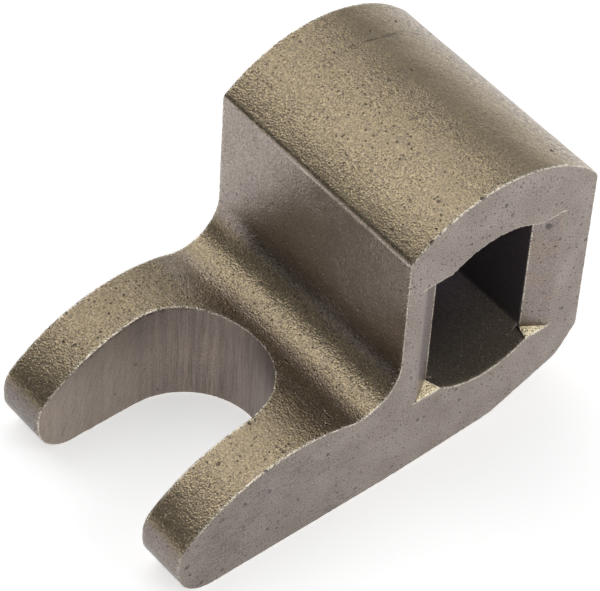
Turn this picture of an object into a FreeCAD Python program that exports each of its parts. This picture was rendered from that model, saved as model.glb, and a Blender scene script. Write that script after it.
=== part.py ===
"""Clutch release finger: a one-piece steel casting with a forked toe and a pivot eye."""
import FreeCAD
import Part
import math
import os

# Frame: origin on the pivot axis at mid width, +X from the toe to the heel, +Z up.
# The two ground side faces lie across Y, and the flat underside faces down.

# Eye block round the pivot
body_width = 22.0
front_reach = 8.55
rear_reach = 9.9
dome_radius = 13.0
front_edge_radius = 0.45
rear_edge_radius = 1.5

# Underside, as heights above its flat part and places along X
underside_depth = 13.5
relief_x = -8.5
relief_radius = 22.0
belly_x = 1.4
belly_rise = 0.5
belly_radius = 5.0
heel_x = 8.1
heel_rise = 3.05
heel_radius = 2.6
rear_foot_rise = 5.55
rear_foot_radius = 0.7

# Forked toe: a humped top that runs into the front face through a root fillet
toe_reach = 29.1
toe_upper_radius = 2.6
toe_lower_radius = 3.3
hump_reach = 17.9
hump_height = 9.9
hump_radius = 15.5
root_radius = 3.6

# Slot that straddles the adjusting stud
stud_diameter = 12.7
stud_clearance = 0.3
stud_reach = 19.9

# Pivot eye: a bore with two flats, and a flared recess at each mouth
eye_radius = 7.5
eye_flat_gap = 9.3
mouth_width = 13.4
mouth_height = 12.4
mouth_depth = 1.3
mouth_edge_radius = 0.8

# Overrun of the cutting shapes past the faces that they cut
overrun = 1.0


def point(x, z):
    """A point of the side outline."""
    return FreeCAD.Vector(x, 0.0, z)


def arc_about(centre, start, end):
    """The short arc from start to end about a centre."""
    middle = (start + end) * 0.5 - centre
    middle.normalize()
    return Part.Arc(start, centre + middle * (start - centre).Length, end).toShape()


def rounded_corner(before, corner, after, radius):
    """The arc that rounds the corner between two straight runs."""
    back = (before - corner).normalize()
    on = (after - corner).normalize()
    half_angle = back.getAngle(on) / 2
    reach = radius / math.tan(half_angle)
    centre = corner + (back + on).normalize() * (radius / math.sin(half_angle))
    return arc_about(centre, corner + back * reach, corner + on * reach)


def face_to_crown(face_x, inward, radius, crown_centre, crown_radius):
    """The round between an upright face and the round top that it runs up to.

    It is given as its centre, its end on the face and its end on the top.
    """
    centre_x = face_x + inward * radius
    rise = math.sqrt((crown_radius - radius) ** 2 - (centre_x - crown_centre.x) ** 2)
    centre = point(centre_x, crown_centre.z + rise)
    outward = (centre - crown_centre).normalize()
    return centre, point(face_x, centre.z), crown_centre + outward * crown_radius


def joined(arcs):
    """A closed wire of the arcs in their order, with a straight run wherever two lie apart."""
    edges = []
    for arc, following in zip(arcs, arcs[1:] + arcs[:1]):
        edges.append(arc)
        end = arc.Vertexes[-1].Point
        start = following.Vertexes[0].Point
        if end.distanceToPoint(start) > 1e-6:
            edges.append(Part.makeLine(end, start))
    return Part.Wire(edges)


def side_outline():
    """The outline of the ground side faces, from the root fillet over the dome and back."""
    pivot = point(0.0, 0.0)
    front_x = -front_reach
    underside_z = -underside_depth
    hump_centre = point(-hump_reach, underside_z + hump_height - hump_radius)

    root_x = front_x - root_radius
    root_climb = math.sqrt((hump_radius + root_radius) ** 2 - (root_x - hump_centre.x) ** 2)
    root_centre = point(root_x, hump_centre.z + root_climb)
    root_start = hump_centre + (root_centre - hump_centre).normalize() * hump_radius
    root_end = point(front_x, root_centre.z)

    front, front_start, dome_start = face_to_crown(front_x, 1, front_edge_radius, pivot, dome_radius)
    rear, rear_end, dome_end = face_to_crown(rear_reach, -1, rear_edge_radius, pivot, dome_radius)
    toe, toe_start, hump_start = face_to_crown(
        -toe_reach, 1, toe_upper_radius, hump_centre, hump_radius)

    rear_foot = point(rear_reach, underside_z + rear_foot_rise)
    heel = point(heel_x, underside_z + heel_rise)
    belly = point(belly_x, underside_z + belly_rise)
    relief = point(relief_x, underside_z)
    toe_foot = point(-toe_reach, underside_z)

    return joined([
        arc_about(root_centre, root_start, root_end),
        arc_about(front, front_start, dome_start),
        arc_about(pivot, dome_start, dome_end),
        arc_about(rear, dome_end, rear_end),
        rounded_corner(rear_end, rear_foot, heel, rear_foot_radius),
        rounded_corner(rear_foot, heel, belly, heel_radius),
        rounded_corner(heel, belly, relief, belly_radius),
        rounded_corner(belly, relief, toe_foot, relief_radius),
        rounded_corner(relief, toe_foot, toe_start, toe_lower_radius),
        arc_about(toe, toe_start, hump_start),
        arc_about(hump_centre, hump_start, root_start),
    ])


def blank():
    """The finger before its slot and eye are cut: its outline, extruded over the width."""
    face = Part.Face(side_outline())
    face.translate(FreeCAD.Vector(0, -body_width / 2, 0))
    return face.extrude(FreeCAD.Vector(0, body_width, 0))


def fork_slot():
    """The upright slot in the toe, with a round end that fits the adjusting stud."""
    width = stud_diameter + stud_clearance
    floor = -underside_depth - overrun
    height = underside_depth + dome_radius + 2 * overrun
    length = toe_reach + overrun - stud_reach
    base = FreeCAD.Vector(-stud_reach, 0, floor)
    run = Part.makeBox(length, width, height, base - FreeCAD.Vector(length, width / 2, 0))
    return run.fuse(Part.makeCylinder(width / 2, height, base))


def eye_bore():
    """The bore along the pivot axis, held to the gap between its two upright flats."""
    length = body_width + 2 * overrun
    base = FreeCAD.Vector(0, -length / 2, 0)
    bore = Part.makeCylinder(eye_radius, length, base, FreeCAD.Vector(0, 1, 0))
    corner = base - FreeCAD.Vector(eye_flat_gap / 2, 0, eye_radius)
    return bore.common(Part.makeBox(eye_flat_gap, length, 2 * eye_radius, corner))


def eye_mouth():
    """The recess at the near mouth: flat above and below, flared to both sides."""
    face_y = -body_width / 2
    outer = mouth_width / 2
    inner = eye_flat_gap / 2
    flare = math.atan2(mouth_depth, outer - inner)
    reach = mouth_edge_radius * math.tan(flare / 2)
    run_in = FreeCAD.Vector(reach * math.cos(flare), -reach * math.sin(flare), 0)

    half_height = FreeCAD.Vector(0, 0, mouth_height / 2)
    rim = FreeCAD.Vector(outer + reach, face_y, 0) - half_height
    edge_centre = rim + FreeCAD.Vector(0, mouth_edge_radius, 0)
    flare_top = FreeCAD.Vector(outer, face_y, 0) - run_in - half_height
    flare_foot = FreeCAD.Vector(inner, face_y + mouth_depth, 0) - half_height
    outside = rim - FreeCAD.Vector(0, overrun, 0)

    def mirrored(v):
        return FreeCAD.Vector(-v.x, v.y, v.z)

    plan = Part.Wire([
        Part.makeLine(mirrored(flare_foot), flare_foot),
        Part.makeLine(flare_foot, flare_top),
        arc_about(edge_centre, flare_top, rim),
        Part.makeLine(rim, outside),
        Part.makeLine(outside, mirrored(outside)),
        Part.makeLine(mirrored(outside), mirrored(rim)),
        arc_about(mirrored(edge_centre), mirrored(rim), mirrored(flare_top)),
        Part.makeLine(mirrored(flare_top), mirrored(flare_foot)),
    ])
    return Part.Face(plan).extrude(half_height * 2)


def release_finger():
    """The finished casting, as one solid."""
    mouth = eye_mouth()
    far_mouth = mouth.mirror(FreeCAD.Vector(0, 0, 0), FreeCAD.Vector(0, 1, 0))
    finger = blank().cut([fork_slot(), eye_bore(), mouth, far_mouth])
    return finger.removeSplitter().Solids[0]


os.makedirs("parts", exist_ok=True)
finger = release_finger()
finger.exportStep("parts/release_finger.step")
box = finger.BoundBox
print("solid valid:", finger.isValid(), "volume mm3:", round(finger.Volume, 1))
print("size mm:", round(box.XLength, 2), round(box.YLength, 2), round(box.ZLength, 2))
print("centre of mass mm:", [round(c, 2) for c in finger.CenterOfMass])
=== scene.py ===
"""The clutch release finger as a finished casting: skin, ground faces, milled slot and worn edges."""
import math
import random
import bmesh
import bpy
from mathutils import Matrix, Vector, kdtree, noise


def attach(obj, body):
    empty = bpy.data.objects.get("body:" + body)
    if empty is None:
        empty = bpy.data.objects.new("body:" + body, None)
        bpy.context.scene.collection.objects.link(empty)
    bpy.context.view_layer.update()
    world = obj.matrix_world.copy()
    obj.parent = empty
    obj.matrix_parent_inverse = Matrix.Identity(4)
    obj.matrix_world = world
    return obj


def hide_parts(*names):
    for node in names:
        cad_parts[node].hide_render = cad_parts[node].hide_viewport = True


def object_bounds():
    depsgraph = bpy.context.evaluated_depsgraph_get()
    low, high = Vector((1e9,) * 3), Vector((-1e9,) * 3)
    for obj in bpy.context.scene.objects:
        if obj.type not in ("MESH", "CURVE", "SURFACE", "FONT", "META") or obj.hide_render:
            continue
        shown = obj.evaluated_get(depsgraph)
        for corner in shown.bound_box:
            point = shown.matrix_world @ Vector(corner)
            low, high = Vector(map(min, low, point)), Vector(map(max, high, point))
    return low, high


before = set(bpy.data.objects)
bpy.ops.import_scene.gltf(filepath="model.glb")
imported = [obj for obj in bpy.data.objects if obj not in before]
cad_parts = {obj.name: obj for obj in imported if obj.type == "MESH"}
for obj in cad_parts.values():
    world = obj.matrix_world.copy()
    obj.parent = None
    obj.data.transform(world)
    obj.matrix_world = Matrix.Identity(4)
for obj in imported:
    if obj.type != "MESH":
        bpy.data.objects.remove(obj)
cad_low, cad_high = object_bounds()

# The mesh is built in millimetres and scaled to metres at its end
MM = 0.001

# Sizes of the casting, in millimetres, round its pivot axis as in the frame
WIDTH = 22.0
FRONT_REACH = 8.55
REAR_REACH = 9.9
DOME_RADIUS = 13.0
FRONT_EDGE_RADIUS = 0.45
REAR_EDGE_RADIUS = 1.5
UNDERSIDE = -13.5
RELIEF_X = -8.5
RELIEF_RADIUS = 22.0
BELLY_X = 1.4
BELLY_RISE = 0.5
BELLY_RADIUS = 5.0
HEEL_X = 8.1
HEEL_RISE = 3.05
HEEL_RADIUS = 2.6
REAR_FOOT_RISE = 5.55
REAR_FOOT_RADIUS = 0.7
TOE_REACH = 29.1
TOE_UPPER_RADIUS = 2.6
TOE_LOWER_RADIUS = 3.3
HUMP_REACH = 17.9
HUMP_HEIGHT = 9.9
HUMP_RADIUS = 15.5
ROOT_RADIUS = 3.6
SLOT_RADIUS = 6.5
SLOT_REACH = 19.9
EYE_RADIUS = 7.5
EYE_HALF_GAP = 4.65
MOUTH_HALF_WIDTH = 6.7
MOUTH_HALF_HEIGHT = 6.2
MOUTH_DEPTH = 1.3
MOUTH_EDGE_RADIUS = 0.8
EYE_CORNER_RADIUS = 0.3

# How far the eye lies towards the heel, and the heights of the wedges that narrow its shelves
EYE_SHIFT = 0.12
WEDGE_LOW = 5.75
WEDGE_HIGH = 6.35

# Fineness of the mesh, in millimetres
ARC_STEP = 0.36
CELL = 0.45
WIDEST_CELL = 1.3 * CELL
EDGE_CELL = 0.26
EDGE_POINT_STEP = 0.06
JOIN = 0.03
SNAP = 0.001
SKIM = 0.01
OVERRUN = 1.0

# Broken edges: their least angle, their width, and how far their wear reaches
SHARP_ANGLE = math.radians(28)
EDGE_BREAK = 0.09
EDGE_REACH = 0.4

# The most that two faces in one plane may turn, and the least turn that is shaded as an edge
FLAT_ANGLE = math.radians(0.02)
SHADED_ANGLE = math.radians(40)

# Depth of the skin's waves and ripples, of worn edges, and of a dent as a share of its radius
WAVE_DEPTH = 0.028
RIPPLE_DEPTH = 0.012
GROUND_DEPTH = 0.004
RAGGED_DEPTH = 0.06
EASED_DEPTH = 0.10
DENT_SHARE = 0.4

# Waves of the skin, the ground faces and the worn edges, as a count in each millimetre
WAVES = 0.32
RIPPLES = 1.1
GROUND_WAVES = 0.5
WORN_WAVES = 1.9
WORN_RIPPLES = 4.1

# Small dents scattered over the faces and along the edges
FACE_DENTS = 140
EDGE_NICKS = 110
SMALLEST_DENT = 0.07
LARGEST_DENT = 0.15
DENT_SEED = 4
DENT_PASSES = 3


def turned(v, angle):
    """A flat vector turned by an angle."""
    return Matrix.Rotation(angle, 2) @ v


def arc_run(centre, start, end):
    """Points along the short arc from start to end about a centre, both ends included."""
    first = start - centre
    last = end - centre
    turn = math.atan2(first.x * last.y - first.y * last.x, first.dot(last))
    count = max(3, round(abs(turn) * first.length / ARC_STEP))
    return [centre + turned(first, turn * i / count) for i in range(count + 1)]


def rounded_corner(before, corner, after, radius):
    """Points of the arc that rounds the corner between two straight runs."""
    back = (before - corner).normalized()
    on = (after - corner).normalized()
    half_angle = back.angle(on) / 2
    reach = radius / math.tan(half_angle)
    centre = corner + (back + on).normalized() * (radius / math.sin(half_angle))
    return arc_run(centre, corner + back * reach, corner + on * reach)


def face_to_crown(face_x, inward, radius, crown_centre, crown_radius):
    """Centre and ends of the round between an upright face and the round top above it."""
    centre_x = face_x + inward * radius
    rise = math.sqrt((crown_radius - radius) ** 2 - (centre_x - crown_centre.x) ** 2)
    centre = Vector((centre_x, crown_centre.y + rise))
    outward = (centre - crown_centre).normalized()
    return centre, Vector((face_x, centre.y)), crown_centre + outward * crown_radius


def side_outline():
    """The outline of the side faces, as points (x, z)."""
    pivot = Vector((0.0, 0.0))
    hump = Vector((-HUMP_REACH, UNDERSIDE + HUMP_HEIGHT - HUMP_RADIUS))
    root_x = -FRONT_REACH - ROOT_RADIUS
    climb = math.sqrt((HUMP_RADIUS + ROOT_RADIUS) ** 2 - (root_x - hump.x) ** 2)
    root = Vector((root_x, hump.y + climb))
    root_start = hump + (root - hump).normalized() * HUMP_RADIUS
    root_end = Vector((-FRONT_REACH, root.y))

    front, front_start, dome_start = face_to_crown(
        -FRONT_REACH, 1, FRONT_EDGE_RADIUS, pivot, DOME_RADIUS)
    rear, rear_end, dome_end = face_to_crown(REAR_REACH, -1, REAR_EDGE_RADIUS, pivot, DOME_RADIUS)
    toe, toe_start, hump_start = face_to_crown(
        -TOE_REACH, 1, TOE_UPPER_RADIUS, hump, HUMP_RADIUS)
    rear_foot = Vector((REAR_REACH, UNDERSIDE + REAR_FOOT_RISE))
    heel = Vector((HEEL_X, UNDERSIDE + HEEL_RISE))
    belly = Vector((BELLY_X, UNDERSIDE + BELLY_RISE))
    relief = Vector((RELIEF_X, UNDERSIDE))
    toe_foot = Vector((-TOE_REACH, UNDERSIDE))

    return joined([
        arc_run(root, root_start, root_end),
        arc_run(front, front_start, dome_start),
        arc_run(pivot, dome_start, dome_end),
        arc_run(rear, dome_end, rear_end),
        rounded_corner(rear_end, rear_foot, heel, REAR_FOOT_RADIUS),
        rounded_corner(rear_foot, heel, belly, HEEL_RADIUS),
        rounded_corner(heel, belly, relief, BELLY_RADIUS),
        rounded_corner(belly, relief, toe_foot, RELIEF_RADIUS),
        rounded_corner(relief, toe_foot, toe_start, TOE_LOWER_RADIUS),
        arc_run(toe, toe_start, hump_start),
        arc_run(hump, hump_start, root_start),
    ])


def joined(runs):
    """One closed list of points from several runs, without doubled points."""
    points = []
    for run in runs:
        for p in run:
            if not points or (p - points[-1]).length > JOIN:
                points.append(p)
    if (points[0] - points[-1]).length < JOIN:
        points.pop()
    return points


def prism(name, points, place, run, cap_finish, wall_finish):
    """A solid between a flat outline and its copy one run away. place puts a flat point in space."""
    bm = bmesh.new()
    near = [bm.verts.new(place(p)) for p in points]
    far = [bm.verts.new(place(p) + run) for p in points]
    bm.faces.new(near)
    bm.faces.new(far)
    for i in range(len(points)):
        j = (i + 1) % len(points)
        wall = bm.faces.new((near[i], near[j], far[j], far[i]))
        wall.material_index = 1
    bmesh.ops.recalc_face_normals(bm, faces=bm.faces[:])
    mesh = bpy.data.meshes.new(name)
    mesh.materials.append(cap_finish)
    mesh.materials.append(wall_finish)
    bm.to_mesh(mesh)
    bm.free()
    solid = bpy.data.objects.new(name, mesh)
    bpy.context.scene.collection.objects.link(solid)
    return solid


def blank(cap_finish, wall_finish):
    """The finger before its slot and eye are cut."""
    run = Vector((0, WIDTH, 0))
    return prism(
        "blank", side_outline(), lambda p: Vector((p.x, -WIDTH / 2, p.y)), run, cap_finish,
        wall_finish)


def slot_cutter(finish):
    """The upright slot in the toe, with its round end."""
    centre = Vector((-SLOT_REACH, 0.0))
    side = Vector((0.0, SLOT_RADIUS))
    end = Vector((SLOT_RADIUS, 0.0))
    out = Vector((-TOE_REACH - OVERRUN, SLOT_RADIUS))
    points = joined([
        arc_run(centre, centre + side, centre + end),
        arc_run(centre, centre + end, centre - side),
        [Vector((out.x, -out.y)), out]])
    floor = UNDERSIDE - OVERRUN
    run = Vector((0, 0, DOME_RADIUS - floor))
    return prism("slot", points, lambda p: Vector((p.x, p.y, floor)), run, finish, finish)


def eye_cutter(finish):
    """The bore along the pivot axis, held to the gap between its two flats, its corners eased."""
    centre = Vector((0.0, 0.0))
    corner_x = EYE_HALF_GAP - EYE_CORNER_RADIUS
    corner = Vector((corner_x, math.sqrt((EYE_RADIUS - EYE_CORNER_RADIUS) ** 2 - corner_x ** 2)))
    flat_end = Vector((EYE_HALF_GAP, corner.y))
    arc_end = corner.normalized() * EYE_RADIUS
    quarter = arc_run(corner, flat_end, arc_end)
    quarter += arc_run(centre, arc_end, Vector((0.0, EYE_RADIUS)))
    upper = quarter + [Vector((-p.x, p.y)) for p in reversed(quarter)]
    points = joined([upper, [-p for p in upper]])
    y = WIDTH / 2 + OVERRUN
    run = Vector((0, 2 * y, 0))
    return prism(
        "eye", points, lambda p: Vector((p.x + EYE_SHIFT, -y, p.y)), run, finish, finish)


def wedge_cutter(side, level, finish):
    """The wedge that narrows the shelves at one mouth, above for level 1 and below for -1."""
    outer = math.sqrt(EYE_RADIUS ** 2 - MOUTH_HALF_HEIGHT ** 2)
    inner = EYE_HALF_GAP - SKIM
    depth = MOUTH_DEPTH + SKIM
    points = [
        Vector((-outer, 0.0)), Vector((outer, 0.0)), Vector((inner, depth)),
        Vector((-inner, depth))]
    face_y = side * WIDTH / 2
    run = Vector((0, 0, level * (WEDGE_HIGH - WEDGE_LOW)))
    return prism(
        "wedge", points,
        lambda p: Vector((p.x + EYE_SHIFT, face_y - side * p.y, level * WEDGE_LOW)),
        run, finish, finish)


def mouth_cutter(side, shelf_finish, flare_finish):
    """The recess at one mouth of the eye: flat above and below, flared to both sides."""
    flare = math.atan2(MOUTH_DEPTH, MOUTH_HALF_WIDTH - EYE_HALF_GAP)
    reach = MOUTH_EDGE_RADIUS * math.tan(flare / 2)
    outer = Vector((MOUTH_HALF_WIDTH, 0.0))
    flare_top = outer + Vector((-math.cos(flare), math.sin(flare))) * reach
    rim = outer + Vector((reach, 0.0))
    edge_centre = rim + Vector((0.0, MOUTH_EDGE_RADIUS))
    half = [Vector((EYE_HALF_GAP, MOUTH_DEPTH))] + arc_run(edge_centre, flare_top, rim)
    half.append(rim - Vector((0.0, OVERRUN)))
    other = [Vector((-p.x, p.y)) for p in reversed(half)]
    face_y = side * WIDTH / 2
    run = Vector((0, 0, 2 * MOUTH_HALF_HEIGHT))
    return prism(
        "mouth", half + other, lambda p: Vector((p.x, face_y - side * p.y, -MOUTH_HALF_HEIGHT)),
        run, shelf_finish, flare_finish)


def cut(solid, cutters):
    """The solid less its cutters, each cut face with its cutter's finish, as a new mesh."""
    for cutter in cutters:
        step = solid.modifiers.new("cut", "BOOLEAN")
        step.operation = "DIFFERENCE"
        step.solver = "EXACT"
        step.material_mode = "TRANSFER"
        step.object = cutter
    graph = bpy.context.evaluated_depsgraph_get()
    mesh = bpy.data.meshes.new_from_object(solid.evaluated_get(graph))
    for used in [solid] + cutters:
        bpy.data.objects.remove(used)
    return mesh


def clean_joins(bm):
    """Closes the hairline edges that the cuts leave, so that the edges can be broken evenly."""
    bmesh.ops.remove_doubles(bm, verts=bm.verts[:], dist=JOIN)
    bmesh.ops.dissolve_degenerate(bm, dist=JOIN / 10, edges=bm.edges[:])
    bmesh.ops.dissolve_limit(
        bm, angle_limit=FLAT_ANGLE, verts=bm.verts[:], edges=bm.edges[:],
        delimit={"MATERIAL"})


def sharp_edges(bm):
    """The outer edges that turn sharply."""
    return [e for e in bm.edges if e.is_convex and e.calc_face_angle(0) > SHARP_ANGLE]


def slice_up(bm):
    """Cuts the wide faces into cells along all three axes, so that they can take relief."""
    for axis in range(3):
        normal = Vector((0, 0, 0))
        normal[axis] = 1
        low = min(v.co[axis] for v in bm.verts)
        high = max(v.co[axis] for v in bm.verts)
        count = round((high - low) / CELL)
        for i in range(1, count):
            level = low + (high - low) * i / count
            crossed = [f for f in bm.faces if spans(f, axis, level)]
            parts = dict.fromkeys(crossed)
            for face in crossed:
                parts.update(dict.fromkeys(face.edges))
                parts.update(dict.fromkeys(face.verts))
            bmesh.ops.bisect_plane(
                bm, geom=list(parts), plane_co=normal * level, plane_no=normal, dist=SNAP)
    bmesh.ops.triangulate(bm, faces=bm.faces[:])
    in_order(bm)


def in_order(bm):
    """Sorts the edges and faces by their points, because the cuts leave them in any order."""
    bm.verts.index_update()
    for parts in (bm.edges, bm.faces):
        ordered = sorted(parts, key=lambda part: sorted(v.index for v in part.verts))
        rank = {part: float(i) for i, part in enumerate(ordered)}
        parts.sort(key=rank.get)


def spans(face, axis, level):
    """Whether a face crosses a level along an axis, and is wide enough there to be cut."""
    places = [v.co[axis] for v in face.verts]
    low = min(places)
    high = max(places)
    return low < level - SKIM and high > level + SKIM and high - low > WIDEST_CELL


def refine(bm, wanted):
    """Halves every edge that is wanted, and closes the faces beside it."""
    edges = [e for e in bm.edges if wanted(e)]
    if edges:
        bmesh.ops.subdivide_edges(bm, edges=edges, cuts=1)
        bmesh.ops.triangulate(bm, faces=[f for f in bm.faces if len(f.verts) > 3])


def drop_folds(bm):
    """Deletes the faces that lie back to back on the same points."""
    same = {}
    for face in bm.faces:
        same.setdefault(frozenset(face.verts), []).append(face)
    folded = [face for faces in same.values() if len(faces) > 1 for face in faces]
    bmesh.ops.delete(bm, geom=folded, context="FACES")


class Surface:
    """A node tree that builds one finish. Lengths given to its calls are in millimetres."""

    def __init__(self, name):
        self.material = bpy.data.materials.new(name)
        self.material.use_nodes = True
        self.tree = self.material.node_tree
        self.shader = self.tree.nodes["Principled BSDF"]
        self.shader.inputs["Metallic"].default_value = 1.0
        place = self.node("ShaderNodeTexCoord").outputs["Object"]
        self.place = self.vector("MULTIPLY", place, (1 / MM,) * 3)
        facing = self.node("ShaderNodeSeparateXYZ")
        self.link(self.node("ShaderNodeTexCoord").outputs["Normal"], facing.inputs[0])
        self.facing = facing.outputs
        where = self.node("ShaderNodeSeparateXYZ")
        self.link(self.place, where.inputs[0])
        self.where = where.outputs

    def node(self, kind):
        return self.tree.nodes.new(kind)

    def link(self, source, socket):
        """Joins a source to a socket, or sets the socket where the source is a plain value."""
        if isinstance(source, bpy.types.NodeSocket):
            self.tree.links.new(source, socket)
        elif socket.type == "RGBA":
            socket.default_value = (*source, 1)
        else:
            socket.default_value = source

    def math(self, operation, a, b=0.0, c=0.0):
        node = self.node("ShaderNodeMath")
        node.operation = operation
        for source, socket in zip((a, b, c), node.inputs):
            self.link(source, socket)
        return node.outputs[0]

    def off(self, value, middle):
        """How far a value is from a middle one."""
        return self.math("ABSOLUTE", self.math("SUBTRACT", value, middle))

    def vector(self, operation, a, b):
        node = self.node("ShaderNodeVectorMath")
        node.operation = operation
        self.link(a, node.inputs[0])
        self.link(b, node.inputs[1])
        return node.outputs[0]

    def painted(self, name):
        """A value that the mesh carries at its points."""
        node = self.node("ShaderNodeAttribute")
        node.attribute_name = name
        return node.outputs["Fac"]

    def toned(self, colour, value):
        """A colour made lighter or darker by a value."""
        node = self.node("ShaderNodeVectorMath")
        node.operation = "SCALE"
        self.link(colour, node.inputs[0])
        self.link(value, node.inputs["Scale"])
        return node.outputs[0]

    def leaning(self, lean):
        """The place, with upright lines leant over towards the heel."""
        node = self.node("ShaderNodeCombineXYZ")
        self.link(self.math("MULTIPLY_ADD", self.where[2], -lean, self.where[0]), node.inputs[0])
        self.link(self.where[1], node.inputs[1])
        self.link(self.where[2], node.inputs[2])
        return node.outputs[0]

    def noise(self, size, detail=2.0, stretch=(1, 1, 1), shift=0.0, place=None):
        """Soft noise from 0 to 1 with features of a size, drawn out along an axis by stretch."""
        node = self.node("ShaderNodeTexNoise")
        scale = tuple(1 / (size * s) for s in stretch)
        place = self.vector("MULTIPLY", place or self.place, scale)
        self.link(self.vector("ADD", place, (shift,) * 3), node.inputs["Vector"])
        node.inputs["Scale"].default_value = 1.0
        node.inputs["Detail"].default_value = detail
        return node.outputs[0]

    def ramp(self, value, low, high, out_low=0.0, out_high=1.0):
        """A soft step of a value between two levels."""
        node = self.node("ShaderNodeMapRange")
        node.interpolation_type = "SMOOTHSTEP"
        for source, socket in zip((value, low, high, out_low, out_high), node.inputs):
            self.link(source, socket)
        return node.outputs[0]

    def side_on(self):
        """The place as seen from the side, for patterns on the flat side faces."""
        node = self.node("ShaderNodeCombineXYZ")
        self.link(self.where[0], node.inputs[0])
        self.link(self.where[2], node.inputs[1])
        return node.outputs[0]

    def pores(self, cell, radius, share, shift=0.0, flat=False):
        """Round spots, 1 inside and 0 outside, in a share of the cells of a loose grid."""
        node = self.node("ShaderNodeTexVoronoi")
        node.voronoi_dimensions = "2D" if flat else "3D"
        place = self.side_on() if flat else self.place
        place = self.vector("MULTIPLY", place, (1 / cell,) * 3)
        self.link(self.vector("ADD", place, (shift,) * 3), node.inputs["Vector"])
        node.inputs["Scale"].default_value = 1.0
        pick = self.node("ShaderNodeSeparateColor")
        self.link(node.outputs["Color"], pick.inputs[0])
        size = self.math("MULTIPLY_ADD", pick.outputs[1], radius / cell, radius / cell * 0.4)
        core = self.math("MULTIPLY", size, 0.5)
        spot = self.ramp(node.outputs["Distance"], core, size, 1.0, 0.0)
        return self.math("MULTIPLY", spot, self.math("LESS_THAN", pick.outputs[0], share))

    def mix(self, factor, a, b):
        """A colour between two colours."""
        node = self.node("ShaderNodeMix")
        node.data_type = "RGBA"
        self.link(factor, node.inputs[0])
        self.link(a, node.inputs[6])
        self.link(b, node.inputs[7])
        return node.outputs[2]

    def relief(self, height, depth, under=None):
        """Bump of a depth, laid over the bump under it."""
        node = self.node("ShaderNodeBump")
        self.link(self.math("MULTIPLY", depth, MM), node.inputs["Distance"])
        self.link(height, node.inputs["Height"])
        if under is not None:
            self.link(under, node.inputs["Normal"])
        return node.outputs[0]

    def worn(self, base, bare_and_glint):
        """The base colour with a share of bare metal and painted highlight along the broken edges,
        and dirty dents.
        """
        nicked = self.ramp(self.noise(0.14, 3.0, shift=2.0), 0.42, 0.54)
        wear = self.math("MULTIPLY", self.ramp(self.painted("wear"), 0.58, 0.78), nicked)
        base = self.mix(self.math("MULTIPLY", wear, bare_and_glint), base, BARE_METAL_AND_GLINT)
        return self.mix(self.ramp(self.painted("dent"), 0.1, 0.7, 0.0, 0.7), base, DENT_DIRT)

    def finish(self, colour, roughness, normal, bare_and_glint=0.6):
        """The material, from its colour, its roughness and its relief."""
        self.link(self.worn(colour, bare_and_glint), self.shader.inputs["Base Color"])
        self.link(roughness, self.shader.inputs["Roughness"])
        self.link(normal, self.shader.inputs["Normal"])
        return self.material


# Colours of the metal, and of the light and shade painted on it, as linear red, green, blue
STEEL = (0.338, 0.285, 0.250)
# Painted warm light: the golden tint given to skin that faces up
WARM_LIGHT = (0.364, 0.291, 0.186)
# Dark of the pores, also used for the painted shade along the dome's front edge
PORE_AND_EDGE_SHADE = (0.050, 0.043, 0.042)
SPECK = (0.088, 0.066, 0.060)
DENT_DIRT = (0.105, 0.093, 0.094)
# Bare metal of worn edges, also used as painted highlight and glints
BARE_METAL_AND_GLINT = (0.900, 0.830, 0.690)
GROUND_STEEL = (0.276, 0.236, 0.208)
GROUND_PALE = (0.330, 0.286, 0.256)
GROUND_SCORE = (0.130, 0.110, 0.104)
MILLED_OUTER = (0.308, 0.258, 0.219)
MILLED_SHADE = (0.248, 0.203, 0.176)
MILLED_SCORE = (0.125, 0.103, 0.094)
EYE_SHADE = (0.140, 0.120, 0.128)
EYE_FLOOR_LIT = (0.312, 0.264, 0.204)
FLARE_STEEL = (0.292, 0.249, 0.230)
FLARE_BROWN = (0.300, 0.243, 0.202)
SHELF_HOLLOW = (0.270, 0.220, 0.145)
SHELF_LIT = (0.830, 0.715, 0.490)

# In the places below, in millimetres, a pair is where a change starts and where it is complete

# Dark lines on the skin: painted shade along the dome's front edge, and a line left by the mould
# across its top
EDGE_SHADE_X = -8.32
SEAM_Y = 6.8
SEAM_BEND = 1.2
EDGE_SHADE_Z = (7.0, 8.5)
TOP_SEAM_Z = (10.0, 11.5)
TOP_SEAM_X = (-3.2, -2.2)

# The painted highlight under the front edge of the dome: its height, its sides and its far end
HIGHLIGHT_Z = 9.55
HIGHLIGHT_SIDES = (0.04, 0.16)
HIGHLIGHT_END_Y = (5.0, 0.0)

# The painted shade in the crease at the foot of the front face: its height, its sides and its far end
CREASE_Z = -2.35
CREASE_SIDES = (0.5, 1.5)
CREASE_END_Y = (8.5, 6.0)

# The slanting line on the front face below which shade is painted, where the face reflects the fork
SHADE_SLANT = 0.737
SHADE_REACH = (12.5, 5.0)

# The hollow between the hump and the front face, where the skin is browner because less warm light is
# painted there, as painted shade
HOLLOW_X = -13.4
HOLLOW_SIDES = (0.8, 2.4)

# The smoother run along the top of the dome, and the coarser one along its rear
SMOOTH_X = 4.0
SMOOTH_SIDES = (1.0, 3.4)
REAR_X = (5.8, 7.6)

# The skin from the near side to the far one, on the far arm and at the tip of the toe
ACROSS_Y = (-8.0, 8.0)
FAR_ARM_Y = (2.0, 8.0)
FAR_ARM_X = (-12.0, -14.5)
TIP_X = (-29.0, -27.5)

# The ground faces: where the scoring starts, where the arm is darker, and the dull edge of its tip
SCORED_X = (-9.0, -14.0)
ARM_X = (-26.0, -10.0)
DULL_TIP_X = (-28.5, -27.0)

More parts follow.
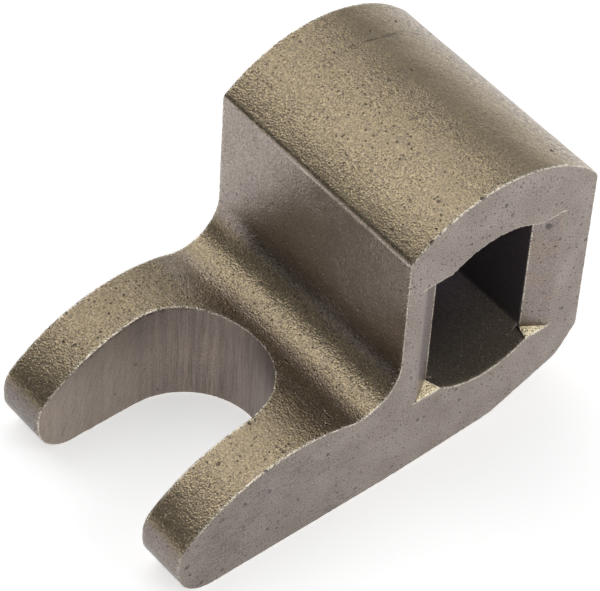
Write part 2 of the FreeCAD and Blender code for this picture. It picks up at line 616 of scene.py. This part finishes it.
# The slot's wall: where its upright marks start, the lean of those beside it, and its tones, with
# painted shade towards its closed end
UPRIGHT_MARKS_X = -SLOT_REACH + 1.5
MARKS_LEAN = 0.35
DEEP_MARKS_X = (-SLOT_REACH, -SLOT_REACH + 5.5)
SLOT_INNER_X = (-SLOT_REACH - 6.0, -SLOT_REACH + 4.0)
SLOT_TOP_Z = (-9.5, -4.5)

# The eye's wall: how painted light grows on its floor towards its mouths, and where its worn rim is
EYE_MOUTH_Y = (2.0, 11.0)
EYE_RIM_Y = (10.6, 10.8)


def cast_skin():
    """As-cast skin: orange-peel grain, with warm light painted where it faces up, and small dark
    pores.
    """
    s = Surface("cast skin")
    grain = s.noise(0.15, 1.2)
    swell = s.noise(0.40, 1.0, shift=7.0)
    patch = s.noise(3.0, 2.0, shift=3.0)
    coarse = coarseness(s, patch)
    rear = rear_run(s)
    base = placed_tones(s, grained_steel(s, grain, coarse))
    clots = s.ramp(s.noise(0.30, 2.0, stretch=(1.6, 1, 1.6), shift=51.0), 0.40, 0.54, -0.34, 0.12)
    base = s.toned(base, s.math("MULTIPLY_ADD", clots, rear, 1.0))
    base = s.toned(base, s.ramp(swell, 0.3, 0.7, 0.94, 1.05))
    base = s.toned(base, s.ramp(patch, 0.3, 0.7, 0.94, 1.04))
    # Painted highlight: scattered glints near the worn edges
    glint = s.ramp(s.noise(0.12, 1.0, shift=31.0), 0.57, 0.66)
    glint = s.math("MULTIPLY", glint, s.ramp(s.painted("wear"), 0.05, 0.70, 0.0, 0.8))
    base = s.mix(glint, base, BARE_METAL_AND_GLINT)
    spots = s.math("MAXIMUM", s.pores(0.42, 0.09, 0.80), s.pores(1.3, 0.16, 0.34, shift=11.0))
    base = s.mix(s.math("MULTIPLY", spots, 0.6), base, PORE_AND_EDGE_SHADE)
    # Painted shade along the dome's front edge, and the dark mould line across its top
    base = s.mix(s.math("MULTIPLY", seams_and_edge_shade(s), 0.55), base, PORE_AND_EDGE_SHADE)
    bump = s.relief(swell, s.math("MULTIPLY_ADD", rear, 0.050, 0.030))
    bump = s.relief(grain, s.math("MULTIPLY", coarse, 0.062), bump)
    bump = s.relief(s.math("SUBTRACT", 1.0, spots), 0.04, bump)
    # Painted highlight: less bare metal and shine on edges that face the front
    bare_and_glint = s.ramp(s.facing[0], -0.8, -0.4, 0.10, 0.95)
    return s.finish(base, s.ramp(grain, 0.3, 0.7, 0.36, 0.26), bump, bare_and_glint)


def coarseness(s, patch):
    """How strong the grain is: weaker in patches, on the front face and along the dome's top."""
    coarse = s.ramp(patch, 0.36, 0.58, 0.7, 1.0)
    coarse = s.math("MULTIPLY", coarse, s.ramp(s.facing[0], -0.6, -0.9, 1.0, 0.75))
    off = s.off(s.where[0], SMOOTH_X)
    return s.math("MULTIPLY", coarse, s.ramp(off, *SMOOTH_SIDES, 0.5, 1.0))


def rear_run(s):
    """1 along the rear of the dome, where the skin is coarser, and 0 elsewhere."""
    return s.math("MULTIPLY", s.ramp(s.where[0], *REAR_X), s.ramp(s.facing[0], 0.95, 0.72))


def grained_steel(s, grain, coarse):
    """The skin's colour, from steel to painted warm light, lighter and darker with its grain."""
    fleck = s.noise(0.14, 1.5, shift=43.0)
    # Painted warm light on the skin that faces up, flecked with the grain
    warm_light = s.math("MULTIPLY", warm_light_share(s), s.ramp(fleck, 0.36, 0.60, 0.50, 1.15))
    tone = s.math(
        "ADD", s.ramp(fleck, 0.36, 0.64, -0.24, 0.19), s.ramp(grain, 0.36, 0.64, -0.22, 0.15))
    return s.toned(s.mix(warm_light, STEEL, WARM_LIGHT), s.math("MULTIPLY_ADD", tone, coarse, 1.0))


def warm_light_share(s):
    """How much warm light is painted on the skin: where it faces up, but not in the hollow or at the
    rear.
    """
    up = s.ramp(s.facing[2], 0.30, 0.62)
    # Painted shade: half the painted warm light in the hollow at the root
    open_top = s.ramp(s.off(s.where[0], HOLLOW_X), *HOLLOW_SIDES, 0.50, 1.0)
    rear = s.ramp(s.facing[0], 0.35, 0.80, 1.0, 0.35)
    return s.math("MULTIPLY", s.math("MULTIPLY", up, open_top), rear)


def placed_tones(s, base):
    """The base colour made lighter or darker by where on the casting it is, with painted light and
    shade among the tones.
    """
    far_arm = s.math("MULTIPLY", s.ramp(s.where[1], *FAR_ARM_Y), s.ramp(s.where[0], *FAR_ARM_X))
    tones = [
        # Painted highlight: skin that faces the rear is lighter, as where it reflects the white floor
        s.ramp(s.facing[0], 0.40, 0.60, 1.0, 1.18),
        s.ramp(s.where[1], *ACROSS_Y, 1.04, 0.98),
        s.math("MULTIPLY_ADD", far_arm, -0.10, 1.0),
        s.ramp(s.where[0], *TIP_X, 0.92, 1.0),
        s.ramp(s.off(s.where[0], HOLLOW_X), *HOLLOW_SIDES, 1.16, 1.0),
        front_shade(s)]
    for tone in tones:
        base = s.toned(base, tone)
    return base


def front_shade(s):
    """The tone of the front face: painted shade below a slanting line, darkest at its foot, with a
    painted highlight under its top edge.
    """
    fronting = s.ramp(s.facing[0], -0.5, -0.9)
    above = s.math("MULTIPLY_ADD", s.where[2], SHADE_SLANT, s.where[1])
    # Painted shade of the reflected fork below the slanting line
    below = s.math("MULTIPLY", s.ramp(above, *SHADE_REACH), -0.28)
    # Painted shade in the crease at the foot of the front face
    crease = s.ramp(s.off(s.where[2], CREASE_Z), *CREASE_SIDES, -0.37, 0.0)
    crease = s.math("MULTIPLY", crease, s.ramp(s.where[1], *CREASE_END_Y))
    # Painted highlight of the rounded edge at the top of the front face
    highlight = s.ramp(s.off(s.where[2], HIGHLIGHT_Z), *HIGHLIGHT_SIDES, 0.7, 0.0)
    highlight = s.math("MULTIPLY", highlight, s.ramp(s.where[1], *HIGHLIGHT_END_Y))
    shade = s.math("ADD", s.math("ADD", below, crease), highlight)
    return s.math("MULTIPLY_ADD", shade, fronting, 1.0)


def seams_and_edge_shade(s):
    """Broken dark lines: painted shade along the front edge of the dome, and a mould line across its
    top.
    """
    wander = s.noise(0.5, 2.0, shift=13.0)
    # Painted shade: a broken dark line just behind the dome's front edge
    front = s.ramp(s.off(s.where[0], EDGE_SHADE_X), 0.02, s.math("MULTIPLY", wander, 0.30), 1.0, 0.0)
    front = s.math("MULTIPLY", front, s.ramp(s.where[2], *EDGE_SHADE_Z))
    bend = s.noise(2.5, 1.0, shift=15.0)
    bent = s.math("MULTIPLY_ADD", bend, SEAM_BEND, SEAM_Y - SEAM_BEND / 2)
    across = s.ramp(s.off(s.where[1], bent), 0.02, 0.26, 1.0, 0.0)
    across = s.math("MULTIPLY", across, s.ramp(s.noise(0.28, 2.0, shift=19.0), 0.44, 0.56))
    across = s.math("MULTIPLY", across, s.ramp(s.where[2], *TOP_SEAM_Z))
    across = s.math("MULTIPLY", across, s.ramp(s.where[0], *TOP_SEAM_X))
    return s.math("MAXIMUM", front, across)


def ground_face():
    """Ground side face: mauve-grey steel with a fine grain, many specks, and scoring on the arm."""
    s = Surface("ground face")
    grain = s.noise(0.10, 1.5, shift=5.0)
    lines = s.noise(0.085, 2.0, stretch=(8, 1, 1))
    scored_zone = s.ramp(s.noise(4.0, 1.0, shift=21.0), 0.38, 0.60)
    scored_zone = s.math("MULTIPLY", scored_zone, s.ramp(s.where[0], *SCORED_X))
    cloud = s.noise(2.5, 3.0, shift=9.0)
    base = s.mix(s.ramp(cloud, 0.3, 0.7), GROUND_STEEL, GROUND_PALE)
    base = s.toned(base, s.ramp(grain, 0.34, 0.66, 0.68, 1.28))
    base = s.toned(base, s.ramp(s.where[0], *ARM_X, 0.86, 1.0))
    scored = s.math("MULTIPLY", s.ramp(lines, 0.36, 0.50, 0.60, 0.0), scored_zone)
    base = s.mix(scored, base, GROUND_SCORE)
    specks = s.math(
        "MAXIMUM", s.pores(0.42, 0.075, 0.42, flat=True),
        s.pores(0.95, 0.12, 0.30, shift=23.0, flat=True))
    base = s.mix(s.math("MULTIPLY", specks, 0.72), base, SPECK)
    pits = s.pores(2.1, 0.17, 0.22, shift=11.0, flat=True)
    base = s.mix(s.math("MULTIPLY", pits, 0.8), base, DENT_DIRT)
    bump = s.relief(lines, 0.006)
    bump = s.relief(grain, 0.030, bump)
    bump = s.relief(s.math("SUBTRACT", 1.0, s.math("MAXIMUM", specks, pits)), 0.04, bump)
    return s.finish(base, 0.44, bump, s.ramp(s.where[0], *DULL_TIP_X, 0.1, 0.6))


def milled_wall():
    """Milled slot wall: long upright tool marks at the round end, finer leaning ones beside it."""
    s = Surface("milled wall")
    upright = s.noise(0.085, 2.0, stretch=(1, 1, 40))
    leaning = s.noise(0.075, 2.0, stretch=(1, 1, 24), place=s.leaning(MARKS_LEAN))
    bands = s.noise(0.42, 2.0, stretch=(1, 1, 24), shift=4.0)
    grain = s.noise(0.11, 1.5, shift=5.0)
    rounded = s.math("GREATER_THAN", s.where[0], UPRIGHT_MARKS_X)
    # Painted shade: the wall darkens towards the slot's closed end
    base = s.mix(s.ramp(s.where[0], *SLOT_INNER_X), MILLED_OUTER, MILLED_SHADE)
    base = s.toned(base, s.ramp(s.where[2], *SLOT_TOP_Z, 1.05, 0.86))
    spread = s.math("MULTIPLY_ADD", rounded, 0.08, 0.06)
    banding = s.math("MULTIPLY", s.ramp(bands, 0.3, 0.7, -1.0, 1.0), spread)
    base = s.toned(base, s.math("ADD", banding, 1.0))
    base = s.toned(base, s.ramp(grain, 0.34, 0.66, 0.84, 1.14))
    marks = s.math("MULTIPLY_ADD", s.math("SUBTRACT", upright, leaning), rounded, leaning)
    strength = s.ramp(s.where[0], *DEEP_MARKS_X, 0.42, 0.62)
    scored = s.math("MULTIPLY", s.ramp(marks, 0.34, 0.48, 1.0, 0.0), strength)
    base = s.mix(scored, base, MILLED_SCORE)
    spots = s.pores(0.7, 0.08, 0.20)
    base = s.mix(s.math("MULTIPLY", spots, 0.75), base, SPECK)
    bump = s.relief(marks, 0.010)
    bump = s.relief(grain, 0.014, bump)
    return s.finish(base, 0.42, bump)


def eye_wall():
    """The eye's wall: painted dark shade, with browner painted light and grain on the floor towards
    the mouths.
    """
    s = Surface("eye wall")
    s.shader.inputs["Metallic"].default_value = 0.85
    s.shader.inputs["Specular IOR Level"].default_value = 0.1
    grain = s.noise(0.13, 2.0)
    floor_side = s.ramp(s.facing[2], 0.2, 0.8)
    out = s.math("ABSOLUTE", s.where[1])
    lit = s.math("MULTIPLY", floor_side, s.ramp(out, *EYE_MOUTH_Y))
    # Painted shade inside the eye, with painted light on its floor near the mouths
    base = s.mix(lit, EYE_SHADE, EYE_FLOOR_LIT)
    base = s.toned(base, s.ramp(grain, 0.34, 0.66, 0.82, 1.16))
    # Painted highlight: glints on the lit floor
    glint = s.ramp(s.noise(0.11, 2.0, shift=6.0), 0.62, 0.70)
    base = s.mix(s.math("MULTIPLY", glint, lit), base, BARE_METAL_AND_GLINT)
    return s.finish(base, 0.55, s.relief(grain, 0.015), s.ramp(out, *EYE_RIM_Y, 0.0, 0.6))


def flared_face():
    """The flares of the eye's mouths: grained like the ground faces, browner on the heel side."""
    s = Surface("flared face")
    grain = s.noise(0.10, 1.5, shift=5.0)
    tint = s.ramp(s.noise(1.8, 2.0, shift=17.0), 0.40, 0.75)
    tint = s.math("MULTIPLY", tint, s.ramp(s.facing[0], 0.2, -0.2))
    base = s.mix(tint, FLARE_STEEL, FLARE_BROWN)
    base = s.toned(base, s.ramp(grain, 0.34, 0.66, 0.76, 1.22))
    specks = s.math(
        "MAXIMUM", s.pores(0.50, 0.080, 0.34, flat=True),
        s.pores(1.1, 0.14, 0.30, shift=11.0, flat=True))
    base = s.mix(s.math("MULTIPLY", specks, 0.75), base, SPECK)
    return s.finish(base, 0.45, s.relief(grain, 0.020))


def mouth_shelf():
    """The small flat shelves in the corners of the eye's mouths: coarse grains painted with bright
    warm light.
    """
    s = Surface("mouth shelf")
    grain = s.noise(0.13, 1.0, shift=5.0)
    # Painted light: the shelves' grains are coloured as if brightly lit
    base = s.mix(s.ramp(grain, 0.38, 0.50), SHELF_HOLLOW, SHELF_LIT)
    inward = s.math("MULTIPLY", s.math("ABSOLUTE", s.where[1]), -1.0)
    return s.finish(base, 0.45, s.relief(grain, 0.06, s.relief(inward, 0.65)))


# Dents seen in the photograph, each with its place and radius in millimetres
SIDE = -WIDTH / 2
SEEN_DENTS = [
    (Vector((0.49, SIDE, 10.58)), 0.24), (Vector((1.24, SIDE, 9.19)), 0.21),
    (Vector((5.86, -10.47, 4.7)), 0.38), (Vector((9.59, SIDE, 1.46)), 0.24),
    (Vector((8.04, SIDE, -5.13)), 0.20), (Vector((-7.46, SIDE, 7.74)), 0.16),
    (Vector((-1.54, SIDE, 10.67)), 0.15), (Vector((-2.5, SIDE, -7.56)), 0.22),
    (Vector((-15.2, SIDE, -6.31)), 0.22), (Vector((-23.06, SIDE, -6.34)), 0.16),
    (Vector((-28.3, SIDE, -9.9)), 0.26), (Vector((-28.01, SIDE, -10.93)), 0.14),
    (Vector((-2.01, SIDE, 12.84)), 0.26), (Vector((-6.73, SIDE, 11.12)), 0.26),
    (Vector((-21.19, SIDE, -3.95)), 0.22), (Vector((-8.4, 7.39, 9.7)), 0.18),
    (Vector((6.55, -9.05, 11.23)), 0.2), (Vector((2.96, 7.66, 12.66)), 0.16),
    (Vector((6.11, 8.36, 11.47)), 0.18), (Vector((-24.84, 9.05, -5.24)), 0.16),
    (Vector((-24.41, 8.11, -5.03)), 0.15),
]


def along(start, end, step):
    """Points along a straight line, about a step apart."""
    count = max(1, math.ceil((end - start).length / step))
    return [start.lerp(end, (i + 0.5) / count) for i in range(count)]


def point_tree(points):
    """A search tree of points."""
    tree = kdtree.KDTree(len(points))
    for i, p in enumerate(points):
        tree.insert(p, i)
    tree.balance()
    return tree


def scattered_dents(bm, edge_points, pick):
    """Small dents at random over the faces, and nicks at random along the edges."""
    dents = []
    faces = bm.faces[:]
    areas = [f.calc_area() for f in faces]
    for face in pick.choices(faces, areas, k=FACE_DENTS):
        dents.append((face.calc_center_median(), pick.uniform(SMALLEST_DENT, LARGEST_DENT)))
    for point in pick.sample(edge_points, EDGE_NICKS):
        dents.append((point, pick.uniform(SMALLEST_DENT, LARGEST_DENT)))
    return dents


def middle(edge):
    """The point half way along an edge of the mesh."""
    return (edge.verts[0].co + edge.verts[1].co) / 2


def refine_edges(bm, edge_tree):
    """Makes the mesh finer along the broken edges."""
    def wanted(e):
        length = e.calc_length()
        return length > EDGE_CELL and edge_tree.find(middle(e))[2] < 0.25 * length + 0.1

    refine(bm, wanted)


def refine_dents(bm, dents):
    """Makes the mesh finer at the dents, so that even a small one is round."""
    dent_tree = point_tree([place for place, _ in dents])

    def wanted(e):
        length = e.calc_length()
        _, i, distance = dent_tree.find(middle(e))
        radius = dents[i][1]
        return distance < 1.3 * radius + length / 2 and length > 0.6 * radius

    for _ in range(DENT_PASSES):
        refine(bm, wanted)


def skin_depth(v, cast):
    """How far a point lies below the plain outline. The cast skin is less even than the rest."""
    skin = sum(f.material_index == cast for f in v.link_faces) / len(v.link_faces)
    wave = (noise.noise(v.co * WAVES) + 1) * WAVE_DEPTH
    wave += (noise.noise(v.co * RIPPLES) + 1) * RIPPLE_DEPTH
    return skin * wave + (1 - skin) * (noise.noise(v.co * GROUND_WAVES) + 1) * GROUND_DEPTH


def eased(p):
    """1 along the upright front edge of the near side face, which is rounder than the rest."""
    return float(p.y < -WIDTH / 2 + EDGE_REACH and p.x < -FRONT_REACH + EDGE_REACH and p.z > -1.0)


def worn_depth(p, wear):
    """How much is worn away at a point, where wear runs from 0 to 1 at the edge."""
    ragged = max(0.0, noise.noise(p * WORN_WAVES + Vector((9, 9, 9))))
    ragged += 0.4 * max(0.0, noise.noise(p * WORN_RIPPLES))
    return wear ** 2 * (RAGGED_DEPTH * ragged + EASED_DEPTH * eased(p))


def press(bm, depths):
    """Moves each point inwards by its depth, and keeps it in the part's box."""
    moves = [v.normal * -depth for v, depth in zip(bm.verts, depths)]
    low = cad_low / MM
    high = cad_high / MM
    for v, move in zip(bm.verts, moves):
        moved = v.co + move
        v.co = [min(max(moved[i], low[i]), high[i]) for i in range(3)]


def relieve(bm, edge_points, cast):
    """Presses the uneven skin, the worn edges and the dents of a casting into the mesh."""
    dents = SEEN_DENTS + scattered_dents(bm, edge_points, random.Random(DENT_SEED))
    edge_tree = point_tree(edge_points)
    refine_edges(bm, edge_tree)
    refine_dents(bm, dents)
    drop_folds(bm)
    bm.normal_update()
    wear = bm.verts.layers.float.new("wear")
    dent = bm.verts.layers.float.new("dent")
    depths = []
    for v in bm.verts:
        v[wear] = max(0.0, 1 - edge_tree.find(v.co)[2] / EDGE_REACH)
        depths.append(skin_depth(v, cast) + worn_depth(v.co, v[wear]))
    vert_tree = point_tree([v.co for v in bm.verts])
    bm.verts.ensure_lookup_table()
    for place, radius in dents:
        for _, i, distance in vert_tree.find_range(place, radius):
            hollow = 1 - (distance / radius) ** 2
            depths[i] += DENT_SHARE * radius * hollow
            bm.verts[i][dent] = max(bm.verts[i][dent], hollow)
    press(bm, depths)


def cut_casting(skin):
    """The casting with its slot, eye and mouths cut, and its edges still sharp."""
    solid = blank(ground_face(), skin)
    flared = flared_face()
    shelf = mouth_shelf()
    dark = eye_wall()
    cutters = [
        slot_cutter(milled_wall()), eye_cutter(dark),
        mouth_cutter(-1, shelf, flared), mouth_cutter(1, shelf, flared)]
    cutters += [wedge_cutter(side, level, dark) for side in (-1, 1) for level in (-1, 1)]
    return cut(solid, cutters)


def finger():
    """The whole casting as one dense mesh."""
    skin = cast_skin()
    mesh = cut_casting(skin)
    bm = bmesh.new()
    bm.from_mesh(mesh)
    clean_joins(bm)
    edge_points = []
    for e in sharp_edges(bm):
        edge_points += along(e.verts[0].co, e.verts[1].co, EDGE_POINT_STEP)
    bmesh.ops.bevel(
        bm, geom=sharp_edges(bm), offset=EDGE_BREAK, offset_type="OFFSET", segments=2,
        profile=0.5, affect="EDGES", clamp_overlap=False, material=-1)
    slice_up(bm)
    relieve(bm, edge_points, mesh.materials.find(skin.name))
    bm.transform(Matrix.Scale(MM, 4))
    bm.to_mesh(mesh)
    bm.free()
    mesh.shade_smooth()
    mesh.set_sharp_from_angle(angle=SHADED_ANGLE)
    piece = bpy.data.objects.new("finger_casting", mesh)
    bpy.context.scene.collection.objects.link(piece)
    normals = piece.modifiers.new("normals", "WEIGHTED_NORMAL")
    normals.keep_sharp = True
    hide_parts("release_finger")
    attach(piece, "root")


# The photograph's camera: where it stands, the point on its axis nearest the pivot, its roll
CAMERA_PLACE = Vector((-128.45, -133.51, 187.81)) * MM
CAMERA_AIM = Vector((-8.05, 1.33, -4.11)) * MM
CAMERA_ROLL = math.radians(3.885)
CAMERA_LENS = 206.6
SENSOR_WIDTH = 36.0


def camera():
    """The camera at the photograph's viewing angle."""
    data = bpy.data.cameras.new("camera")
    data.lens = CAMERA_LENS
    data.sensor_fit = "HORIZONTAL"
    data.sensor_width = SENSOR_WIDTH
    data.clip_start = 0.01
    data.clip_end = 10.0
    view = bpy.data.objects.new("camera", data)
    level = (CAMERA_AIM - CAMERA_PLACE).to_track_quat("-Z", "Y").to_matrix().to_4x4()
    view.matrix_world = (
        Matrix.Translation(CAMERA_PLACE) @ level @ Matrix.Rotation(CAMERA_ROLL, 4, "Z"))
    bpy.context.scene.collection.objects.link(view)
    bpy.context.scene.camera = view


def softbox(name, direction, distance, size, level):
    """A square area lamp that faces the casting from a direction. Its face shines at a level."""
    data = bpy.data.lights.new(name, "AREA")
    data.size = size
    data.energy = level * math.pi * size ** 2
    lamp = bpy.data.objects.new(name, data)
    lamp.location = Vector(direction).normalized() * distance
    lamp.rotation_euler = (-lamp.location).to_track_quat("-Z", "Y").to_euler()
    bpy.context.scene.collection.objects.link(lamp)


# Light of the studio: a white rim round the horizon below a dimmer ceiling
RIM_TOP = 0.09
CEILING_START = 0.26
RIM_LEVEL = 1.0
CEILING_LEVEL = 0.14
FLOOR_GLOW = 0.56


def floor():
    """A pale floor that the camera and the metal see as white, with the casting's shadow on it."""
    bpy.ops.mesh.primitive_plane_add(size=4.0, location=(0, 0, cad_low.z))
    plane = bpy.context.object
    plane.name = "floor"
    paint = bpy.data.materials.new("floor paint")
    paint.use_nodes = True
    tree = paint.node_tree
    shader = tree.nodes["Principled BSDF"]
    shader.inputs["Base Color"].default_value = (0.90, 0.90, 0.90, 1)
    shader.inputs["Roughness"].default_value = 0.9
    shader.inputs["Specular IOR Level"].default_value = 0.0
    shader.inputs["Emission Color"].default_value = (1, 1, 1, 1)
    rays = tree.nodes.new("ShaderNodeLightPath")
    seen = tree.nodes.new("ShaderNodeMath")
    seen.operation = "ADD"
    seen.use_clamp = True
    seen_through = tree.nodes.new("ShaderNodeMath")
    seen_through.operation = "MAXIMUM"
    tree.links.new(rays.outputs["Is Glossy Ray"], seen_through.inputs[0])
    tree.links.new(rays.outputs["Is Transmission Ray"], seen_through.inputs[1])
    tree.links.new(rays.outputs["Is Camera Ray"], seen.inputs[0])
    tree.links.new(seen_through.outputs[0], seen.inputs[1])
    glow = tree.nodes.new("ShaderNodeMath")
    glow.operation = "MULTIPLY"
    glow.inputs[1].default_value = FLOOR_GLOW
    tree.links.new(seen.outputs[0], glow.inputs[0])
    tree.links.new(glow.outputs[0], shader.inputs["Emission Strength"])
    plane.data.materials.append(paint)


def studio():
    """A pale floor, a world that is white at the horizon, and soft lamps above."""
    floor()
    world = bpy.data.worlds.new("studio")
    bpy.context.scene.world = world
    world.use_nodes = True
    tree = world.node_tree
    place = tree.nodes.new("ShaderNodeTexCoord")
    split = tree.nodes.new("ShaderNodeSeparateXYZ")
    level = tree.nodes.new("ShaderNodeMapRange")
    level.interpolation_type = "SMOOTHSTEP"
    level.inputs["From Min"].default_value = RIM_TOP
    level.inputs["From Max"].default_value = CEILING_START
    level.inputs["To Min"].default_value = RIM_LEVEL
    level.inputs["To Max"].default_value = CEILING_LEVEL
    tree.links.new(place.outputs["Generated"], split.inputs[0])
    tree.links.new(split.outputs["Z"], level.inputs["Value"])
    tree.links.new(level.outputs[0], tree.nodes["Background"].inputs["Strength"])
    tree.nodes["Background"].inputs["Color"].default_value = (1, 1, 1, 1)

    softbox("overhead softbox", (0.03, 0.45, 0.88), distance=0.50, size=0.60, level=1.03)
    softbox("overhead lamp", (-0.32, 0.50, 0.80), distance=0.48, size=0.26, level=0.40)
    softbox("side softbox", (0.45, -0.73, 0.51), distance=0.50, size=0.34, level=2.2)
    softbox("rear softbox", (0.70, 0.52, 0.49), distance=0.50, size=0.32, level=0.30)
    softbox("far lamp", (-0.26, 0.88, 0.41), distance=0.50, size=0.16, level=1.3)


bpy.context.scene.view_settings.view_transform = "Standard"
finger()
camera()
studio()
